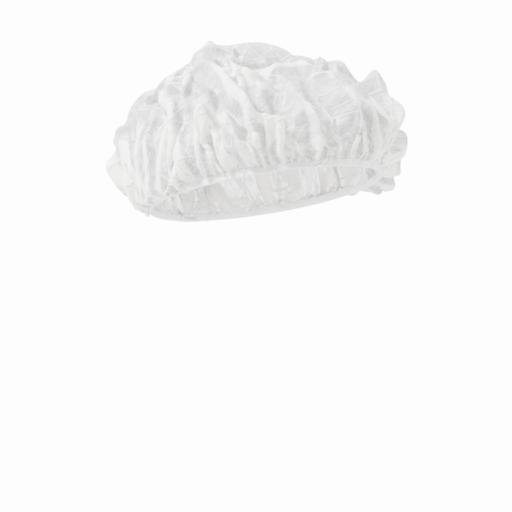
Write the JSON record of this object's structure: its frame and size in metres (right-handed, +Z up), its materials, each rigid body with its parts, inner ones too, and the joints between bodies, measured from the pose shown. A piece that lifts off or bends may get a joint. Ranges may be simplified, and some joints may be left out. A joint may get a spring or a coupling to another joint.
{
  "type": "bouffant cap",
  "caption": "Disposable white nonwoven bouffant cap with a stitched elastic edge, shown in its worn shape; the elastic edge stretches open.",
  "frame": {"origin": "centre of the head opening, in the plane of the binding's lower edge", "axes": "as worn: +Z up, the forehead side faces -Y, the wearer's left is +X; the opening's plane leans 11.5 degrees about X with its forehead side up"},
  "size_m": [0.2026, 0.242, 0.1346],
  "materials": {
    "crown_sheet": "thin translucent spunbond nonwoven",
    "binding_strip": "folded nonwoven strip, gathered",
    "elastic_band": "matt synthetic elastic",
    "sewing_thread": "white spun polyester thread"
  },
  "bodies": {
    "forehead_half": {"crown_front": "crown_sheet", "binding_front": "binding_strip", "elastic_front": "elastic_band", "needle_thread_front": "sewing_thread", "looper_thread_front": "sewing_thread"},
    "nape_half": {"crown_rear": "crown_sheet", "binding_rear": "binding_strip", "binding_lap": "binding_strip", "elastic_rear": "elastic_band", "needle_thread_rear": "sewing_thread", "looper_thread_rear": "sewing_thread", "nape_tack": "sewing_thread"}
  },
  "joints": [
    {"name": "rim_stretch", "type": "slide", "parent": "forehead_half", "child": "nape_half", "axis": [0, 0.9799, -0.1994], "range_m": [0, 0.04], "stiffness_N_per_m": 18, "springref_m": -0.06}
  ]
}
